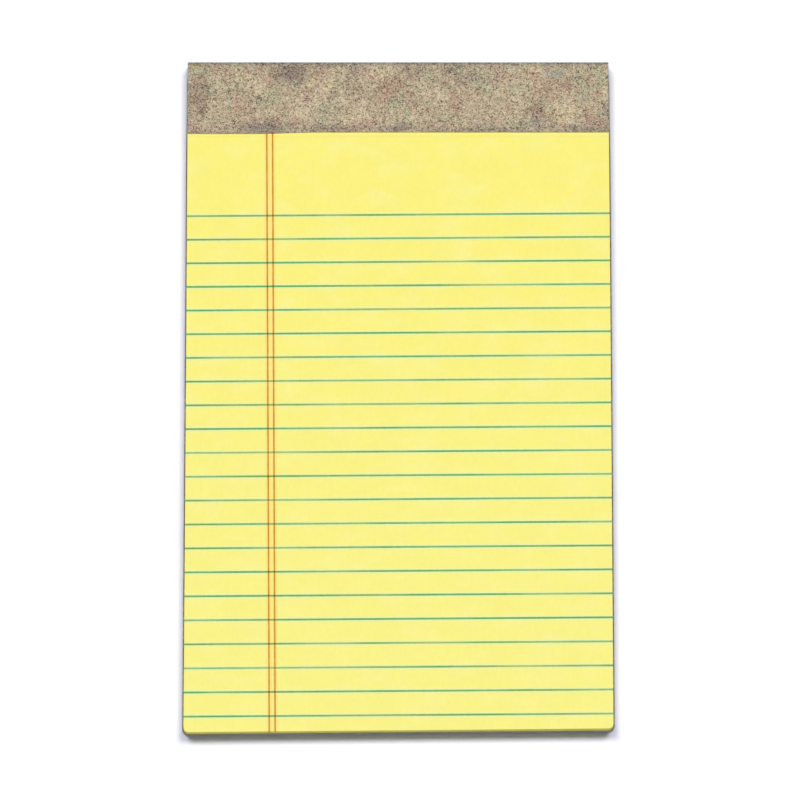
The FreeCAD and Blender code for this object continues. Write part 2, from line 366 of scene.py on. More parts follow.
@dataclass(frozen=True)
class RuledBond(Finish):
    """Canary bond paper with offset ruling.

    Uncoated recycled paper, dyed in the pulp and calendered: dull, slightly cloudy where the
    fibres flocked, with a rare brown fleck. Cyan ink over yellow reads green and bleeds a pale
    blue-green fringe into the fibres; the margin's orange bleeds a faint pink one.
    Sizes are in millimetres. The fibres' 0.5 mm stands for their 0.02 mm, which wouldn't show.
    """

    name: str = "canary_bond_ruled"
    relief: float = 0.12
    head_colour: str = "#fdf27a"
    # The foot's colour is painted light
    foot_painted_light: str = "#fbf383"
    pale: str = "#fdf48f"
    ruling_ink: str = "#7ea13c"
    ruling_blue: str = "#63a757"
    ruling_fringe: str = "#96f3f0"
    margin_ink: str = "#cb9e00"
    margin_fringe: str = "#ffe181"
    fleck_colour: str = "#a98a4e"
    dye_flock: Pattern = Pattern(3.0, 4.0, (2.0, 1.0, 1.0))
    dye: Span = Span(0.42, 0.72, 0.0, 0.75)
    formation: Pattern = Pattern(4.0, 3.0)
    cloud: Span = Span(0.3, 0.7, 0.985, 1.0)
    fibres: Pattern = Pattern(0.5, 2.0, (1.0, 1.7, 1.0))
    fibre_tone: Span = Span(0.25, 0.75, 0.985, 1.01)
    fleck_apart: float = 11.0
    fleck_draw: float = 7.31
    fleck_chance: Span = Span(0.93, 0.95)
    fleck_edge: Span = Span(0.028, 0.012)
    bumps: Pattern = Pattern(2.5)
    ink_patch: Pattern = Pattern(2.5, 4.0, (7.0, 1.0, 1.0))
    waver: Span = Span(0.3, 0.6, 0.65, 1.0)
    hue_patch: Pattern = Pattern(5.0, 2.0, (5.0, 1.0, 1.0))
    hue: Span = Span(0.35, 0.6)
    margin_waver: float = 0.4
    feather: float = 0.12
    ink_edge: float = 0.07
    ruling_bleed: Span = Span(1.25, 0.0, 0.0, 0.34)
    margin_bleed: Span = Span(1.1, 0.5, 0.0, 0.8)
    ruling: Ruling = field(default_factory=Ruling)

    def build(self, low: Vector, high: Vector) -> bpy.types.Material:
        """Make the material for the block between two corners.

        Args:
            low: The block's lowest corner in millimetres.
            high: The block's highest corner in millimetres.

        Returns:
            The finished material.
        """
        material, nodes = new_material(self.name)
        place = nodes.millimetres()
        fibre = nodes.speckle(place, self.fibres)
        paper = self.paper(nodes, place, fibre, Span(high.y, low.y))
        paper = self.print_lines(nodes, place, fibre, paper, low, high)
        height = nodes.add("Math", fibre, nodes.speckle(place, self.bumps), operation="ADD")
        self.surface(nodes, paper, height, fibre)
        return material

    def paper(self, nodes: Nodes, place: Socket, fibre: Socket, fade: Span) -> Socket:
        """Colour the bare paper.

        Args:
            nodes: The material's node tree.
            place: The place in millimetres.
            fibre: The fibres' noise.
            fade: From where to where along the leaf the head's colour gives way to the foot's.

        Returns:
            The paper's colour.
        """
        _, along, _ = nodes.add("SeparateXYZ", place).node.outputs
        # Painted light: the paper is painted paler and less yellow from head to foot
        paper = nodes.layer(linear(self.head_colour), self.foot_painted_light, along, fade)
        # Cloudy formation: the dye took less in some flocks
        paper = nodes.layer(paper, self.pale, nodes.speckle(place, self.dye_flock), self.dye)
        clouds = nodes.speckle(place, self.formation)
        cloud_tone = nodes.add("MapRange", clouds, *self.cloud, interpolation_type="SMOOTHSTEP")
        fibre_tone = nodes.add("MapRange", fibre, *self.fibre_tone, interpolation_type="SMOOTHSTEP")
        tone = nodes.add("Math", cloud_tone, fibre_tone, operation="MULTIPLY")
        paper = nodes.add("VectorMath", paper, sockets={"Scale": tone}, operation="SCALE")
        # Recycled flecks, about one in 20 cm2 and under half a millimetre wide
        cell = {"Vector": place, "Scale": 1 / self.fleck_apart, "Randomness": 1.0}
        cells = nodes.add("TexVoronoi", sockets=cell).node.outputs
        spread = nodes.add("Math", cells["Color"], self.fleck_draw, operation="MULTIPLY")
        drawn = nodes.add("Math", spread, operation="FRACT")
        chosen = nodes.add("MapRange", drawn, *self.fleck_chance, interpolation_type="SMOOTHSTEP")
        return nodes.layer(
            paper, self.fleck_colour, cells["Distance"], self.fleck_edge, chosen, "MULTIPLY")

    def print_lines(self, nodes: Nodes, place: Socket, fibre: Socket, paper: Socket,
                    low: Vector, high: Vector) -> Socket:
        """Print the rulings and the margin: offset ink of wavering density, feathered by the fibres.

        Args:
            nodes: The material's node tree.
            place: The place in millimetres.
            fibre: The fibres' noise.
            paper: The paper's colour.
            low: The block's lowest corner.
            high: The block's highest corner.

        Returns:
            The printed paper's colour.
        """
        to_ruling, to_margin = self.ruling.distances(nodes, place, low, high)
        patches = nodes.speckle(place, self.ink_patch)
        waver = nodes.add("MapRange", patches, *self.waver, interpolation_type="SMOOTHSTEP")
        paper = nodes.layer(paper, self.ruling_fringe, to_ruling, self.ruling_bleed, waver)
        paper = nodes.layer(paper, self.margin_fringe, to_margin, self.margin_bleed)
        steady = 1 - self.margin_waver
        even = nodes.add("Math", waver, self.margin_waver, steady, operation="MULTIPLY_ADD")
        drift = nodes.speckle(place, self.hue_patch)
        green = nodes.layer(linear(self.ruling_ink), self.ruling_blue, drift, self.hue)
        swing = nodes.add("Math", fibre, 0.5, operation="SUBTRACT")
        feather = nodes.add("Math", swing, self.feather, operation="MULTIPLY")
        for distance, width, ink, density, how in (
                (to_ruling, self.ruling.line_width, green, waver, "MIX"),
                (to_margin, self.ruling.margin_width, self.margin_ink, even, "MULTIPLY")):
            edge = nodes.add("Math", distance, feather, operation="ADD")
            inked = Span(width / 2 + self.ink_edge, width / 2 - self.ink_edge)
            paper = nodes.layer(paper, ink, edge, inked, density, how)
        return paper


@dataclass(frozen=True)
class CutEdge(Finish):
    """The sides of a guillotined stack: each leaf a hair lighter or darker than the next.

    The stack's side is painted deeper and greener than a leaf's face as painted shade, with fine
    streaks of painted shade along it where leaves lie closer or stand proud. Lines that the press
    ran off the leaf show as faint marks down the side, scattered because each leaf went through
    the press up to 0.4 mm off the next. Sizes are in millimetres.
    """

    name: str = "canary_bond_cut"
    relief: float = 0.3
    # A lit and a shaded tone of the cut; the shaded one is painted shade
    colour: str = "#fbf88c"
    shaded: str = "#d4d168"
    ruling_mark: str = "#a4c8a0"
    margin_mark: str = "#d99a40"
    off_register: float = 0.8
    bands: Pattern = Pattern(0.45, 3.0, (70.0, 70.0, 1.0))
    leaf_share: float = 0.35
    streaks: Span = Span(0.45, 0.95, 0.0, 0.75)
    mark_patch: Pattern = Pattern(0.4)
    mark_share: Span = Span(0.35, 0.6, 0.1, 0.6)
    mark_outside: float = 0.12
    mark_inside: float = 0.08
    fibres: Pattern = Pattern(0.3)
    ruling: Ruling = field(default_factory=Ruling)

    def build(self, low: Vector, high: Vector, thickness: float) -> bpy.types.Material:
        """Make the material for the block between two corners.

        Args:
            low: The block's lowest corner in millimetres.
            high: The block's highest corner in millimetres.
            thickness: One leaf's thickness, in millimetres.

        Returns:
            The finished material.
        """
        material, nodes = new_material(self.name)
        place = nodes.millimetres()
        _, _, up = nodes.add("SeparateXYZ", place).node.outputs
        above = nodes.add("Math", up, low.z, operation="SUBTRACT")
        leaves = nodes.add("Math", above, thickness, operation="DIVIDE")
        leaf = nodes.add("Math", leaves, operation="FLOOR")
        drawn = nodes.add("TexWhiteNoise", sockets={"W": leaf}, noise_dimensions="1D").node.outputs
        # Painted shade in streaks: one tone a leaf, and broader bands of about five leaves that drift
        # along the cut
        own = nodes.add("Math", drawn["Value"], self.leaf_share, operation="MULTIPLY")
        mixed = nodes.add("Math", own, nodes.speckle(place, self.bands), operation="ADD")
        tone = nodes.layer(linear(self.colour), self.shaded, mixed, self.streaks)

        reach = (self.off_register, self.off_register, 0.0)
        half = (-self.off_register / 2, -self.off_register / 2, 0.0)
        scattered = nodes.add("VectorMath", drawn["Color"], reach, place, operation="MULTIPLY_ADD")
        scattered = nodes.add("VectorMath", scattered, half)
        to_ruling, to_margin = self.ruling.distances(nodes, scattered, low, high)
        patches = nodes.speckle(place, self.mark_patch)
        patchy = nodes.add("MapRange", patches, *self.mark_share, interpolation_type="SMOOTHSTEP")
        for distance, width, mark in (
                (to_ruling, self.ruling.line_width, self.ruling_mark),
                (to_margin, self.ruling.margin_width, self.margin_mark)):
            inked = Span(width / 2 + self.mark_outside, width / 2 - self.mark_inside)
            tone = nodes.layer(tone, mark, distance, inked, patchy, "MULTIPLY")
        self.surface(nodes, tone, nodes.speckle(place, self.fibres))
        return material


class Cloud(NamedTuple):
    """A cloud of ink: its colour, size in millimetres, where it starts, its most and its draw."""

    colour: str
    size: float
    start: float
    most: float
    draw: float


class Patch(NamedTuple):
    """A soft field of ink on the strip: middle and half widths in millimetres, share and dark rim."""

    x: float
    below_head: float
    half_width: float
    half_height: float
    colour: str
    share: float = 0.7
    rim: float = 0.0


@dataclass(frozen=True)
class StonePrint(Finish):
    """Text paper printed with a sandstone pattern and lightly varnished.

    Sand-coloured grain with soft clouds of rose brown, moss, blue-green and violet grey, crossed
    by a few thin broken cracks. The varnish yellows it a little and gives it more sheen than the
    leaves. The grain's cells are 0.25 mm, near the print's own screen. Sizes are in millimetres.
    """

    name: str = "stone_print_paper"
    roughness: float = 0.62
    specular: float = 0.4
    sand: str = "#b1a184"
    crack: str = "#6b5a4a"
    # Painted shade: darker at the fold and along the long edges, greyer at both cut ends
    painted_shade: str = "#665e51"
    end_shade: str = "#96928a"
    varnish: str = "#fffdf3"
    clouds: tuple[Cloud, ...] = (
        Cloud("#c6b695", 5.0, 0.47, 0.8, 11.0),
        Cloud("#a88a75", 3.5, 0.50, 0.7, 37.0),
        Cloud("#a19e7e", 4.0, 0.50, 0.7, 71.0),
        Cloud("#8f7c66", 6.0, 0.55, 0.7, 113.0),
        Cloud("#847770", 5.0, 0.58, 0.7, 149.0),
        Cloud("#bb9482", 2.4, 0.52, 0.45, 191.0),
        Cloud("#a6a688", 2.2, 0.53, 0.35, 223.0),
    )
    patches: tuple[Patch, ...] = (
        Patch(-60.2, 10.5, 3.4, 6.5, "#87705a", 0.7, 0.6),
        Patch(-60.0, 3.0, 3.2, 1.6, "#9ba58c", 0.5),
        Patch(-61.8, 1.0, 3.4, 1.3, "#b6a06a", 0.7),
        Patch(-53.5, 6.0, 4.5, 3.5, "#bba88a", 0.5, 0.4),
        Patch(-31.9, 3.0, 6.5, 3.6, "#75624f", 0.8, 0.3),
        Patch(-33.2, 4.6, 2.0, 1.8, "#7c6966", 0.6),
        Patch(-22.0, 0.6, 10.0, 0.8, "#86725c", 0.5),
        Patch(-40.5, 20.0, 9.5, 1.9, "#7a6b58", 0.8),
        Patch(-48.0, 13.0, 3.0, 2.4, "#b08d74", 0.5),
        Patch(-20.4, 20.4, 8.0, 1.6, "#857463", 0.7),
        Patch(0.6, 19.9, 4.5, 1.6, "#857666", 0.7),
        Patch(-1.8, 6.8, 4.4, 3.0, "#97785f", 0.7, 0.3),
        Patch(15.4, 7.5, 0.8, 0.4, "#57493e", 0.8),
        Patch(13.4, 5.9, 2.2, 0.5, "#76685b", 0.7),
        Patch(2.6, 9.0, 0.5, 0.3, "#4b3f36", 0.8),
        Patch(46.7, 3.2, 3.8, 1.5, "#93a290", 0.6),
        Patch(45.2, 8.6, 5.5, 4.0, "#a68871", 0.55, 0.25),
        Patch(41.3, 14.8, 3.6, 2.6, "#94795f", 0.6),
        Patch(50.0, 15.2, 5.0, 2.8, "#c4b08c", 0.6),
        Patch(57.0, 20.6, 9.0, 1.2, "#887c6a", 0.7),
        Patch(28.0, 20.7, 16.0, 1.1, "#887c6a", 0.6),
    )
    cloud_edge: float = 0.16
    cloud_detail: float = 3.0
    fray: Warp = Warp(5.0, 0.35, 5.0)
    front_depth: tuple[float, float] = (0.6, 0.3)
    patch_edge: tuple[float, float] = (1.25, 0.35)
    rim_width: float = 0.09
    crack_apart: float = 15.0
    crack_bend: Warp = Warp(14.0, 0.12, 4.0)
    crack_edge: Span = Span(0.03, 0.0, 0.0, 0.7)
    crack_stretch: Pattern = Pattern(4.0, 3.0)
    crack_broken: Span = Span(0.5, 0.6)
    # Where the painted shade falls: at the fold, towards both long edges, along the cut edges and at the
    # cut ends
    fold_shade: Span = Span(1.0, 0.05, 0.0, 0.65)
    flap_middle: float = 10.8
    flap_edge_shade: Span = Span(7.2, 10.4, 0.0, 0.19)
    cut_edge_shadow: Span = Span(21.0, 21.9, 0.0, 0.35)
    end_shade_share: Span = Span(1.0, 0.0, 0.0, 0.7)
    grain_width: float = 0.25
    grain_detail: float = 3.0
    grain_power: float = 0.4
    grain_tone: tuple[float, float] = (0.85, 0.29)
    grain_light: tuple[float, float] = (0.38, -0.27)
    coarse: Pattern = Pattern(0.6)
    coarse_tone: Span = Span(0.25, 0.75, 0.82, 1.18)
    fibres: Pattern = Pattern(0.4)

    def build(self, head: float, low: Vector, high: Vector) -> bpy.types.Material:
        """Make the material for a strip folded over a head edge.

        Args:
            head: Where the leaves' head edge stands along Y, in millimetres.
            low: The strip's lowest corner; not used.
            high: The strip's highest corner.

        Returns:
            The finished material.
        """
        material, nodes = new_material(self.name)
        place = nodes.millimetres()
        colour = self.stone(nodes, place, head, high)
        colour = self.paint_shade(nodes, place, colour, head, high)
        colour = self.grain(nodes, place, colour)
        self.surface(nodes, colour, nodes.speckle(place, self.fibres))
        return material

    def stone(self, nodes: Nodes, place: Socket, head: float, high: Vector) -> Socket:
        """Colour the stone with its clouds, patches and cracks, and varnish it.

        Args:
            nodes: The material's node tree.
            place: The place in millimetres.
            head: Where the leaves' head edge stands along Y.
            high: The strip's highest corner.

        Returns:
            The stone's colour.
        """
        colour = linear(self.sand)
        # Each cloud has its own place of the noise
        for cloud in self.clouds:
            shift = (cloud.draw, -cloud.draw, cloud.draw)
            moved = nodes.add("VectorMath", place, shift)
            puffs = nodes.speckle(moved, Pattern(cloud.size, self.cloud_detail))
            reach = Span(cloud.start, cloud.start + self.cloud_edge, 0.0, cloud.most)
            colour = nodes.layer(colour, cloud.colour, puffs, reach)
        # The patches lie where they do on this strip's front, their borders frayed
        frayed = nodes.warped(place, self.fray)
        half = self.fray.reach / 2
        _, _, up = nodes.add("SeparateXYZ", place).node.outputs
        front = Span(*(high.z - depth for depth in self.front_depth))
        on_front = nodes.add("MapRange", up, *front, interpolation_type="SMOOTHSTEP")
        for patch in self.patches:
            middle = (patch.x + half, head - patch.below_head + half, high.z)
            away = nodes.add("VectorMath", frayed, middle, operation="SUBTRACT")
            spread = (1 / patch.half_width, 1 / patch.half_height, 0.0)
            away = nodes.add("VectorMath", away, spread, operation="MULTIPLY")
            reach = nodes.add("VectorMath", away, operation="LENGTH", out="Value")
            colour = nodes.layer(
                colour, patch.colour, reach, Span(*self.patch_edge, 0.0, patch.share), on_front)
            if patch.rim:
                off_rim = nodes.add("Math", reach, 1.0, operation="SUBTRACT")
                off_rim = nodes.add("Math", off_rim, operation="ABSOLUTE")
                rim = Span(self.rim_width, 0.0, 0.0, patch.rim)
                colour = nodes.layer(colour, self.crack, off_rim, rim, on_front)
        # Cracks: the edges of warped cells, broken up so that only stretches of them show
        bent = nodes.warped(place, self.crack_bend)
        cell = {"Vector": bent, "Scale": 1 / self.crack_apart}
        to_crack = nodes.add("TexVoronoi", sockets=cell, out="Distance", feature="DISTANCE_TO_EDGE")
        stretches = nodes.speckle(place, self.crack_stretch)
        broken = nodes.add("MapRange", stretches, *self.crack_broken, interpolation_type="SMOOTHSTEP")
        colour = nodes.layer(colour, self.crack, to_crack, self.crack_edge, broken)
        coat = {UNDER: colour, OVER: linear(self.varnish)}
        return nodes.add("Mix", 1.0, sockets=coat, out=MIXED, data_type="RGBA", blend_type="MULTIPLY")

    def paint_shade(self, nodes: Nodes, place: Socket, colour: Socket, head: float, high: Vector) -> Socket:
        """Paint shade: darker along the head's fold, towards both long edges and along the flaps' cut
        edges, and greyer at both cut ends.

        Args:
            nodes: The material's node tree.
            place: The place in millimetres.
            colour: The stone's colour.
            head: Where the leaves' head edge stands along Y.
            high: The strip's highest corner.

        Returns:
            The colour with its painted shade.
        """
        across, along, _ = nodes.add("SeparateXYZ", place).node.outputs
        below = nodes.add("Math", head, along, operation="SUBTRACT")
        off_middle = nodes.add("Math", below, self.flap_middle, operation="SUBTRACT")
        off_middle = nodes.add("Math", off_middle, operation="ABSOLUTE")
        from_middle = nodes.add("Math", across, operation="ABSOLUTE")
        from_side = nodes.add("Math", high.x, from_middle, operation="SUBTRACT")
        # All four are painted shade: at the fold, towards both long edges, along the cut edges and at
        # both cut ends
        for distance, span, shade_colour in (
                (below, self.fold_shade, self.painted_shade), (off_middle, self.flap_edge_shade, self.painted_shade),
                (below, self.cut_edge_shadow, self.painted_shade), (from_side, self.end_shade_share, self.end_shade)):
            colour = nodes.layer(colour, shade_colour, distance, span)
        return colour

    def grain(self, nodes: Nodes, place: Socket, colour: Socket) -> Socket:
        """Lay the grain: one tone for each cell with ragged sides, and under it a coarser one.

        Args:
            nodes: The material's node tree.
            place: The place in millimetres.
            colour: The worn stone's colour.

        Returns:
            The grained colour.
        """
        ragged = nodes.warped(place, Warp(self.grain_width, 1 / self.grain_width, self.grain_detail))
        cell = {"Vector": ragged, "Scale": 1 / self.grain_width}
        sand = nodes.add("TexVoronoi", sockets=cell, out="Color")
        grain = nodes.add("Math", nodes.add("SeparateColor", sand), self.grain_power, operation="POWER")
        broad = nodes.speckle(place, self.coarse)
        coarse = nodes.add("MapRange", broad, *self.coarse_tone, interpolation_type="SMOOTHSTEP")
        fine = nodes.add("Math", grain, *self.grain_tone, operation="MULTIPLY_ADD")
        tone = nodes.add("Math", fine, coarse, operation="MULTIPLY")
        colour = nodes.add("VectorMath", colour, sockets={"Scale": tone}, operation="SCALE")
        light = nodes.add("Math", grain, *self.grain_light, operation="MULTIPLY_ADD")
        return nodes.add("VectorMath", colour, light)


@dataclass(frozen=True)
class RawPaper(Finish):
    """Unprinted text paper where a knife cut through it: dull off-white fibres.

    The fibres' 0.3 mm stands for their 0.02 mm, which wouldn't show.
    """

    name: str = "strip_paper_core"
    colour: str = "#cfc6b0"
    shaded: str = "#a59b86"
    fibres: Pattern = Pattern(0.3, 3.0)
    shading: Span = Span(0.4, 0.7)

    def build(self) -> bpy.types.Material:
        """Make the material.

        Returns:
            The finished material.
        """
        material, nodes = new_material(self.name)
        fibre = nodes.speckle(nodes.millimetres(), self.fibres)
        self.surface(nodes, nodes.layer(linear(self.colour), self.shaded, fibre, self.shading))
        return material


class Fibre(NamedTuple):
    """One of the board's kinds of fibre: its colour, which way it lies in radians, and its draw."""

    colour: str
    turn: float
    draw: float


@dataclass(frozen=True)
class Chipboard(Finish):
    """Grey chipboard of mixed waste paper, pressed in plies and cut with the leaves.

    Its face is a dull grey brown with pale and dark fibres of 1 to 3 mm lying every way, and its
    cut side shows the plies as fine lines. Its side that faces the foot is painted paler, as painted
    light.
    Sizes are in millimetres.
    """

    name: str = "grey_chipboard"
    roughness: float = 0.9
    relief: float = 0.25
    relief_height: float = 0.05
    base: str = "#928a7c"
    cloud: str = "#857c6d"
    ply: str = "#6f675a"
    foot_side_painted_light: str = "#c0b7a9"
    fibres: tuple[Fibre, ...] = (
        Fibre("#bdb6a6", 0.4, 5.0),
        Fibre("#5c554a", 1.5, 31.0),
        Fibre("#bdb6a6", 2.3, 67.0),
        Fibre("#5c554a", 2.9, 83.0),
    )
    mottle: Pattern = Pattern(6.0, 4.0)
    cloud_share: Span = Span(0.35, 0.65)
    strand: Pattern = Pattern(0.35, 1.0, (6.0, 1.0, 1.0))
    fibre_share: Span = Span(0.62, 0.72, 0.0, 0.7)
    lumps: Pattern = Pattern(0.8, 3.0)
    plies: Pattern = Pattern(0.15, 2.0, (60.0, 60.0, 1.0))
    ply_share: Span = Span(0.45, 0.6, 0.0, 0.6)
    cut_side: Span = Span(0.6, 0.2)
    foot_light_share: Span = Span(-0.3, -0.8, 0.0, 0.8)

    def build(self) -> bpy.types.Material:
        """Make the material.

        Returns:
            The finished material.
        """
        material, nodes = new_material(self.name)
        place = nodes.millimetres()
        mottle = nodes.speckle(place, self.mottle)
        colour = nodes.layer(linear(self.base), self.cloud, mottle, self.cloud_share)
        for kind in self.fibres:
            moved = nodes.add("VectorMath", place, (kind.draw,) * 3)
            turn = {"Vector": moved, "Angle": kind.turn}
            turned = nodes.add("VectorRotate", sockets=turn, rotation_type="Z_AXIS")
            fibre = nodes.speckle(turned, self.strand)
            colour = nodes.layer(colour, kind.colour, fibre, self.fibre_share)
        facing = nodes.add("NewGeometry", out="True Normal")
        _, headward, upright = nodes.add("SeparateXYZ", facing).node.outputs
        level = nodes.add("Math", upright, operation="ABSOLUTE")
        side = nodes.add("MapRange", level, *self.cut_side, interpolation_type="SMOOTHSTEP")
        plies = nodes.speckle(place, self.plies)
        colour = nodes.layer(colour, self.ply, plies, self.ply_share, side)
        # Painted light: the side that faces the foot is painted paler
        colour = nodes.layer(colour, self.foot_side_painted_light, headward, self.foot_light_share)
        self.surface(nodes, colour, nodes.speckle(place, self.lumps))
        return material


@dataclass(frozen=True)
class StitchingWire(Finish):
    """Galvanised flat stitching wire, drawn and rolled: a soft grey shine with fine draw lines.

    The draw lines' 0.08 mm stands for their 0.01 mm, which wouldn't show.
    """

    name: str = "galvanised_wire"
    roughness: float = 0.38
    specular: float = 0.5
    sheen: Span = Span(0.3, 0.7, -0.08, 0.1)
    bright: str = "#c9cacc"
    dull: str = "#a3a5a8"
    draw_lines: Pattern = Pattern(0.08, 2.0, (25.0, 1.0, 25.0))
    shading: Span = Span(0.35, 0.65)

    def build(self) -> bpy.types.Material:
        """Make the material.

        Returns:
            The finished material.
        """
        material, nodes = new_material(self.name)
        drawn = nodes.speckle(nodes.millimetres(), self.draw_lines)
        tone = nodes.layer(linear(self.bright), self.dull, drawn, self.shading)
        self.surface(nodes, tone, gloss=drawn, metallic=1.0)
        return material


# Pieces

class Cut(NamedTuple):
    """How far out a side stands at head and foot, in millimetres, and the power of its bow."""

    at_head: float
    at_foot: float
    bow: float


@dataclass
class Trim:
    """The outline that the guillotine gave leaves and board alike, in millimetres."""

    low: Vector
    high: Vector
    length: float = 203.2
    corner_radius: float = 1.6
    foot_skew: float = 0.505
    head_inset: float = 0.13
    left_cut: Cut = Cut(-0.075, 0.20, 2.0)
    right_cut: Cut = Cut(-0.30, 0.31, 0.6)
    side_runs: int = 36
    foot_runs: int = 24
    corner_runs: int = 8

    def foot_line(self, x: float) -> float:
        """Where the foot's cut lies along Y at a place across the pad."""
        return self.high.y - self.length + x * math.tan(math.radians(self.foot_skew))

    def outline(self) -> list[tuple[Vector, Vector]]:
        """Walk the cut edge from the head down the left side, round the foot and up the right.

        Returns:
            Each place with its outward direction, in the leaf's plane.
        """
        slope = math.radians(self.foot_skew)
        radius = self.corner_radius
        walk = []
        left, right, head = self.low.x, self.high.x, self.high.y - self.head_inset
        centres = []
        for x in (left + radius, right - radius):
            centres.append(Vector((x, self.foot_line(x) + radius / math.cos(slope))))
        for i in range(self.side_runs):
            share = i / self.side_runs
            walk.append((Vector((left, head + (centres[0].y - head) * share)), Vector((-1, 0))))
        for centre, start, sweep in (
                (centres[0], math.pi, math.pi / 2 + slope),
                (centres[1], 1.5 * math.pi + slope, math.pi / 2 - slope)):
            for i in range(self.corner_runs + 1):
                angle = start + sweep * i / self.corner_runs
                away = Vector((math.cos(angle), math.sin(angle)))
                walk.append((centre + away * radius, away))
            if centre is centres[0]:
                down = Vector((math.sin(slope), -math.cos(slope)))
                first, last = walk[-1][0], centres[1] + down * radius
                for i in range(1, self.foot_runs):
                    walk.append((first.lerp(last, i / self.foot_runs), down))
        for i in range(1, self.side_runs + 1):
            share = i / self.side_runs
            walk.append((Vector((right, centres[1].y + (head - centres[1].y) * share)), Vector((1, 0))))
        # The knife cut both sides a little narrow at the head and wide at the loose foot
        for place, _ in walk:
            cut = self.right_cut if place.x > 0 else self.left_cut
            down = min(1.0, max(0.0, (head - place.y) / self.length))
            out = cut.at_head + (cut.at_foot - cut.at_head) * down ** cut.bow
            place.x += place.x / right * out
        return walk


@dataclass
class LeafBlock:
    """The fifty leaves: one closed mesh whose sides step in and out leaf by leaf.

    Sizes are in millimetres. A wave is how far a noise moves on in a millimetre, and a step how
    far it moves on from one band or leaf to the next.
    """

    leaves: int = 50
    easing: float = 0.03
    easing_reach: float = 0.1
    jog: float = 0.022
    jog_wave: float = 0.05
    jog_step: float = 3.7
    jog_draw: float = 40.0
    band_jog: float = 0.035
    band_wave: float = 0.02
    band_step: float = 1.9
    leaves_in_band: int = 6
    glued_reach: float = 8.0
    lean: float = 0.1
    perf_below_head: float = 22.8
    perf_slit: float = 1.1
    perf_bridge: float = 0.5
    perf_width: float = 0.03
    low: Vector = field(init=False)
    high: Vector = field(init=False)

    def __post_init__(self) -> None:
        """Take the block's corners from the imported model."""
        self.low, self.high = corners("sheet_stack")

    @property
    def thickness(self) -> float:
        """One leaf's thickness."""
        return (self.high.z - self.low.z) / self.leaves

    def edge_offsets(self, leaf: int, walk: Sequence[tuple[Vector, Vector]]) -> list[float]:
        """Work out how far a leaf's edge stands in from the cut at each place of the walk.

        Bands of leaves sit deeper or prouder together, and each leaf wavers a little on its own.
        The knife leans, so that the sides of the front leaves stand in by a tenth of a millimetre.
        The front leaf's own edge and the bound head run straight.

        Args:
            leaf: The leaf's number, from the back.
            walk: The cut's places with their outward directions.

        Returns:
            The distances in millimetres.
        """
        band = leaf / self.leaves_in_band
        share = (leaf + 1) / self.leaves
        offsets = []
        for place, away in walk:
            broad, fine = place * self.band_wave, place * self.jog_wave
            wide = noise.noise(Vector((broad.x, broad.y, band * self.band_step)))
            own = noise.noise(Vector((fine.x + self.jog_draw, fine.y, leaf * self.jog_step)))
            free = min(1.0, max(0.0, (self.high.y - place.y) / self.glued_reach))
            depth = self.band_jog * (0.5 + wide) + self.jog * (0.5 + own)
            if leaf == self.leaves - 1:
                depth = 0.0
            sideways = abs(away.x) > abs(away.y)
            drawn = self.lean * share if sideways else 0.0
            offsets.append(max(0.0, depth) * free + drawn)
        return offsets

    def build(self, face: bpy.types.Material, side: bpy.types.Material) -> bpy.types.Object:
        """Build the block with its tear-off perforation.

        Args:
            face: The finish of the front leaf's face.
            side: The finish of all cut edges.

        Returns:
            The finished piece.
        """
        shape = bmesh.new()
        walk = Trim(self.low, self.high).outline()
        rings = []
        for leaf in range(self.leaves):
            offsets = self.edge_offsets(leaf, walk)
            bottom = self.low.z + leaf * self.thickness
            levels = ((bottom, self.easing), (bottom + self.easing, 0.0), (bottom + self.thickness, 0.0))
            for level, eased in levels:
                ring = []
                for (place, away), offset in zip(walk, offsets):
                    fade = min(1.0, (self.high.y - place.y) / self.easing_reach)
                    spot = place - away * (offset + eased * fade)
                    ring.append(shape.verts.new((spot.x, spot.y, level)))
                rings.append(ring)
        join_rows(shape, rings, material=1, closed=True)
        self.perforate(shape, rings[0], rings[-1])
        return new_piece("leaf_block", shape, (face, side))

    def perforate(self, shape: bmesh.types.BMesh, lower: list, upper: list) -> None:
        """Cut the row of slits through the block, and close its two faces around them.

        Args:
            shape: The block's mesh, with its sides only.
            lower: The lowest ring of points.
            upper: The highest ring of points.
        """
        pitch = self.perf_slit + self.perf_bridge
        count = int((self.high.x - self.low.x - self.perf_bridge) / pitch)
        first = -((count - 1) * pitch + self.perf_slit) / 2
        y = self.high.y - self.perf_below_head
        half = self.perf_width / 2
        faces = {self.low.z: list(lower), self.high.z: list(upper)}
        edges = {
            level: [shape.edges.get((ring[i - 1], ring[i])) for i in range(len(ring))]
            for level, ring in faces.items()
        }
        for i in range(count):
            x = first + i * pitch
            end = x + self.perf_slit
            spots = ((x, y - half), (end, y - half), (end, y + half), (x, y + half))
            rims = {level: [shape.verts.new((*spot, level)) for spot in spots] for level in faces}
            low, high = rims[self.low.z], rims[self.high.z]
            for j in range(len(spots)):
                shape.faces.new((low[j - 1], low[j], high[j], high[j - 1])).material_index = 1
            for level, rim in rims.items():
                edges[level] += [shape.edges.get((rim[j - 1], rim[j])) for j in range(len(rim))]
        for level, rim in edges.items():
            filled = bmesh.ops.triangle_fill(shape, edges=rim, use_beauty=True)
            for item in filled["geom"]:
                if isinstance(item, bmesh.types.BMFace):
                    item.material_index = 0 if level == self.high.z else 1


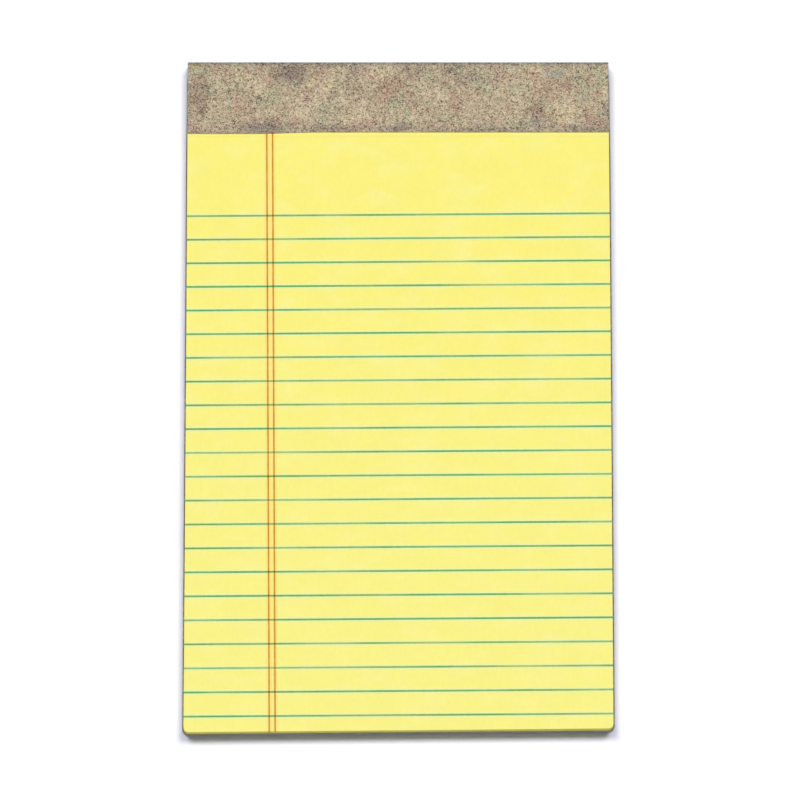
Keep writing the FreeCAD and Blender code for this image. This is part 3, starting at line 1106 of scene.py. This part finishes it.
@dataclass
class BackBoard:
    """The chipboard back, whose cut side the knife pressed out into a slight lip.

    The strip held the board at the head, and at the foot the lip is rubbed off, so the lip is
    less there. Sizes are in millimetres. Each profile has heights, from the board's lower and
    from its upper face, and the lip's share at them.
    """

    lip: float = 0.42
    held_lip: float = 0.7
    foot_lip: float = 0.5
    held_until: float = 18.0
    held_fade: float = 5.0
    rag: float = 0.05
    rag_wave: float = 0.9
    rag_rise: float = 3.0
    lower_profile: tuple[tuple[float, float], ...] = ((0.0, 0.4), (0.15, 0.95), (0.5, 1.0))
    upper_profile: tuple[tuple[float, float], ...] = ((0.12, 0.85), (0.0, 0.35))
    low: Vector = field(init=False)
    high: Vector = field(init=False)

    def __post_init__(self) -> None:
        """Take the board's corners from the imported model."""
        self.low, self.high = corners("backing_board")

    def build(self, finish: bpy.types.Material) -> bpy.types.Object:
        """Build the board under the leaves.

        Args:
            finish: The board's finish.

        Returns:
            The finished piece.
        """
        shape = bmesh.new()
        walk = Trim(self.low, self.high).outline()
        levels = [(self.low.z + up, share) for up, share in self.lower_profile]
        levels += [(self.high.z - down, share) for down, share in self.upper_profile]
        rings = []
        for level, share in levels:
            ring = []
            for place, away in walk:
                fine = place * self.rag_wave
                rag = noise.noise(Vector((fine.x, fine.y, level * self.rag_rise))) * self.rag
                down = walk[0][0].y - place.y
                free = min(1.0, max(0.0, (down - self.held_until) / self.held_fade))
                bound = min(1.0, down) * (self.held_lip + (1 - self.held_lip) * free)
                bound *= self.foot_lip + (1 - self.foot_lip) * abs(away.x)
                spot = place + away * (self.lip + rag) * share * bound
                ring.append(shape.verts.new((spot.x, spot.y, level)))
            rings.append(ring)
        join_rows(shape, rings, closed=True)
        for ring in (rings[0], rings[-1]):
            shape.faces.new(ring)
        return new_piece("chipboard_back", shape, (finish,))


@dataclass
class BindingStrip:
    """One strip of printed paper: front flap, creased spine and back flap.

    Its front edge was cut a little deeper towards the left end, and it lifts off the leaves.
    Sizes are in millimetres. A wave is how far a noise moves on in a millimetre.
    """

    thickness: float = 0.15
    flap: float = 22.0
    front_flap: float = 21.44
    left_drop: float = 0.46
    drop_start: float = 0.68
    drop_width: float = 0.17
    waver: float = 0.03
    waver_wave: float = 0.35
    waver_draw: float = 3.1
    stations: int = 128
    flap_runs: int = 24
    edge_crowding: float = 1.6
    crease_runs: int = 5
    side_insets: tuple[float, float] = (0.12, 0.29)
    head_inset: float = Trim.head_inset
    edge_lift: float = 0.08
    lift_reach: float = 1.6
    lift_swing: float = 0.4
    lift_wave: float = 0.06
    lift_draw: float = 9.7
    same_point: float = 1e-7
    low: Vector = field(init=False)
    high: Vector = field(init=False)
    head: float = field(init=False)

    def __post_init__(self) -> None:
        """Take the strip's corners and the block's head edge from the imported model."""
        self.low, self.high = corners("binding_strip")
        self.head = self.high.y - self.thickness - self.head_inset

    def front_edge(self, x: float) -> float:
        """Work out where the front flap's cut edge lies.

        Args:
            x: The place across the pad, in millimetres.

        Returns:
            The edge's place along Y.
        """
        share = (self.high.x - x) / (self.high.x - self.low.x)
        turn = min(1.0, max(0.0, (share - self.drop_start) / self.drop_width))
        depth = self.front_flap + self.left_drop * turn * turn * (3 - 2 * turn)
        swing = noise.noise(Vector((x * self.waver_wave, self.waver_draw, 0)))
        return self.head - depth - swing * self.waver

    def section(self, x: float) -> list[tuple[float, float, float, float]]:
        """Draw the strip's section at a place across the pad, from the front edge to the back edge.

        Args:
            x: The place, in millimetres.

        Returns:
            For each place its outer point and its inner point, each as Y and Z.
        """
        inner_top, inner_bottom = self.high.z - self.thickness, self.low.z + self.thickness
        points = []
        edge = self.front_edge(x)
        swing = noise.noise(Vector((x * self.lift_wave, self.lift_draw, 0)))
        most = self.edge_lift * (1 - self.lift_swing + self.lift_swing * swing)
        for i in range(self.flap_runs):
            y = edge + (self.head - edge) * (i / self.flap_runs) ** self.edge_crowding
            lift = most * max(0.0, 1 - (y - edge) / self.lift_reach) ** 2
            points.append((y, self.high.z + lift, y, inner_top + lift))
        # Upper crease, then lower crease, each a quarter turn about the inner corner
        for start, inner in ((math.pi / 2, inner_top), (0.0, inner_bottom)):
            for i in range(self.crease_runs + 1):
                angle = start - math.pi / 2 * i / self.crease_runs
                y = self.head + self.thickness * math.cos(angle)
                z = inner + self.thickness * math.sin(angle)
                points.append((y, z, self.head, inner))
        for i in range(1, self.flap_runs + 1):
            y = self.head - self.flap * i / self.flap_runs
            points.append((y, self.low.z, y, inner_bottom))
        return points

    def build(self, printed: bpy.types.Material, core: bpy.types.Material) -> bpy.types.Object:
        """Build the folded strip as one closed mesh.

        Args:
            printed: The finish of its outer face.
            core: The finish of its cut edges and inner face.

        Returns:
            The finished piece.
        """
        shape = bmesh.new()
        outer, inner = [], []
        left, right = self.low.x + self.side_insets[0], self.high.x - self.side_insets[1]
        for i in range(self.stations + 1):
            x = left + (right - left) * i / self.stations
            section = self.section(x)
            outer.append([shape.verts.new((x, y, z)) for y, z, _, _ in section])
            lined = []
            # Both creases turn about one inner point, which isn't doubled
            for _, _, y, z in section:
                last = lined[-1] if lined else None
                same = last is not None and abs(last.co.y - y) + abs(last.co.z - z) < self.same_point
                lined.append(last if same else shape.verts.new((x, y, z)))
            inner.append(lined)

        join_rows(shape, outer)
        join_rows(shape, inner, material=1)
        for end in (0, -1):
            join_rows(shape, [outer[end], inner[end]], material=1)
        for side in (0, -1):
            edges = [[column[side] for column in columns] for columns in (outer, inner)]
            join_rows(shape, edges, material=1)
        return new_piece("stone_strip", shape, (printed, core))


# Stage

class Lamp(Enum):
    """The lights over the table, each with its strength."""

    SOFTBOX = 1.635
    FILL = 0.86
    ROOM = 0.055


@dataclass
class Studio:
    """White table, two softboxes above the pad's head, a low fill at its foot and a dim room.

    Widths of lights and tilts are in degrees, the table's size and the camera's place in metres,
    the table's gap and the pad's half sides in millimetres. The table is seen whiter than it lights
    the pad, with painted light above 1 far from the pad and painted shade near it.
    """

    table_size: float = 6.0
    table_gap: float = 0.02
    table_lit: Colour = (0.8, 0.8, 0.8, 1.0)
    near_painted_shade: Colour = (0.95, 0.95, 1.04, 1.0)
    far_painted_light: Colour = (1.13, 1.13, 1.2, 1.0)
    pad_half: tuple[float, float] = (64.0, 102.0)
    painted_falloff: Span = Span(0.5 * MM, 6.0 * MM)
    room_colour: Colour = (0.84, 0.96, 2.1, 1.0)
    seen_white: Colour = (1.0, 1.0, 1.0, 1.0)
    softbox_tilt: float = 23.2
    softbox_lean: float = 15.5
    softbox_width: float = 21.0
    fill_height: float = 5.0
    fill_width: float = 20.0
    camera_place: tuple[float, float, float] = (0.00051, -0.4577, 2.32125)
    camera_tilt: float = 11.139
    lens: float = 355.84
    sensor: float = 36.0
    camera_reach: float = 20.0

    def seen(self, nodes: Nodes) -> Socket:
        """Tell the rays that show a surface, straight or in a gloss, from those that light others.

        Args:
            nodes: The node tree of the material or world.

        Returns:
            1 for rays that show it and 0 for the rest.
        """
        path = nodes.add("LightPath").node.outputs
        seen = nodes.add("Math", path["Is Camera Ray"], path["Is Glossy Ray"], operation="MAXIMUM")
        return nodes.add("Math", seen, path["Is Transmission Ray"], operation="MAXIMUM")

    def table(self) -> None:
        """Lay the table, which looks white but keeps the pad's shadow."""
        shape = bmesh.new()
        bmesh.ops.create_grid(
            shape, x_segments=1, y_segments=1, size=self.table_size / 2 / MM,
            matrix=Matrix.Translation((0, 0, -self.table_gap)))
        material, nodes = new_material("white_table")
        # Painted light and shade: seen from the camera, the table is painted brighter far from the pad
        # and darker near it, which deepens the pad's shadow, and it is tinted blue
        place = nodes.add("TexCoord", out="Object")
        half = (self.pad_half[0] * MM, self.pad_half[1] * MM, 0)
        place = nodes.add("VectorMath", place, operation="ABSOLUTE")
        beyond = nodes.add("VectorMath", place, half, operation="SUBTRACT")
        across, along, _ = nodes.add("SeparateXYZ", beyond).node.outputs
        away = nodes.add("Math", across, along, operation="MAXIMUM")
        painted_falloff = nodes.add("MapRange", away, *self.painted_falloff, interpolation_type="SMOOTHSTEP")
        whites = {UNDER: self.near_painted_shade, OVER: self.far_painted_light}
        lit = nodes.add("Mix", painted_falloff, sockets=whites, out=MIXED, data_type="RGBA")
        shades = {UNDER: self.table_lit, OVER: lit}
        shade = nodes.add("Mix", self.seen(nodes), sockets=shades, out=MIXED, data_type="RGBA")
        nodes.add("OutputMaterial", sockets={"Surface": nodes.add("BsdfDiffuse", shade)})
        new_piece("table", shape, (material,))

    def lights(self) -> None:
        """Hang both softboxes and the fill, and light the room."""
        softbox = (Lamp.SOFTBOX, self.softbox_width, -self.softbox_tilt)
        for name, (lamp, width, tilt), lean in (
                ("softbox_left", softbox, -self.softbox_lean),
                ("softbox_right", softbox, self.softbox_lean),
                ("fill_foot", (Lamp.FILL, self.fill_width, 90 - self.fill_height), 0.0)):
            sun = bpy.data.lights.new(name, "SUN")
            sun.energy = lamp.value
            sun.angle = math.radians(width)
            hung = bpy.data.objects.new(name, sun)
            hung.rotation_euler = (math.radians(tilt), math.radians(lean), 0)
            bpy.context.scene.collection.objects.link(hung)
        world = bpy.data.worlds.new("room")
        world.use_nodes = True
        world.node_tree.nodes.clear()
        nodes = Nodes(world.node_tree)
        dim = nodes.add("Background", self.room_colour, Lamp.ROOM.value)
        white = nodes.add("Background", self.seen_white, 1.0)
        mixed = nodes.add("MixShader", self.seen(nodes), dim, white)
        nodes.add("OutputWorld", sockets={"Surface": mixed})
        bpy.context.scene.world = world

    def camera(self) -> None:
        """Set the camera above the pad's foot end, looking almost straight down."""
        data = bpy.data.cameras.new("camera")
        data.sensor_width = self.sensor
        data.lens = self.lens
        data.clip_end = self.camera_reach
        camera = bpy.data.objects.new("camera", data)
        camera.location = self.camera_place
        camera.rotation_euler = (math.radians(self.camera_tilt), 0, 0)
        bpy.context.scene.collection.objects.link(camera)
        bpy.context.scene.camera = camera

    def build(self) -> None:
        """Set up table, lights and camera."""
        self.table()
        self.lights()
        self.camera()


# The pad

def dress_node(name: str, material: bpy.types.Material) -> None:
    """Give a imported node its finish.

    Args:
        name: The node.
        material: Its finish.
    """
    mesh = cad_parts[name].data
    mesh.materials.clear()
    mesh.materials.append(material)


def place_piece(piece: bpy.types.Object, node: str) -> None:
    """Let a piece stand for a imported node.

    Args:
        piece: The piece.
        node: The node that it replaces.
    """
    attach(piece, ROOT)
    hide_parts(node)


def main() -> None:
    """Build the stage and the pad."""
    logging.basicConfig(level=logging.INFO)
    bpy.context.scene.view_settings.view_transform = "Standard"
    Studio().build()

    block = LeafBlock()
    face = RuledBond().build(block.low, block.high)
    side = CutEdge().build(block.low, block.high, block.thickness)
    leaves = block.build(face, side)
    place_piece(leaves, "sheet_stack")
    log.info("leaf_block: %d leaves, %d faces", block.leaves, len(leaves.data.polygons))

    strip = BindingStrip()
    folded = strip.build(StonePrint().build(strip.head, strip.low, strip.high), RawPaper().build())
    place_piece(folded, "binding_strip")
    log.info("stone_strip: %d faces", len(folded.data.polygons))

    board = BackBoard().build(Chipboard().build())
    place_piece(board, "backing_board")
    log.info("chipboard_back: %d faces", len(board.data.polygons))

    wire = StitchingWire().build()
    for name in ("staple_left", "staple_right"):
        dress_node(name, wire)
    log.info("both staples dressed")


if __name__ == "__main__":
    main()
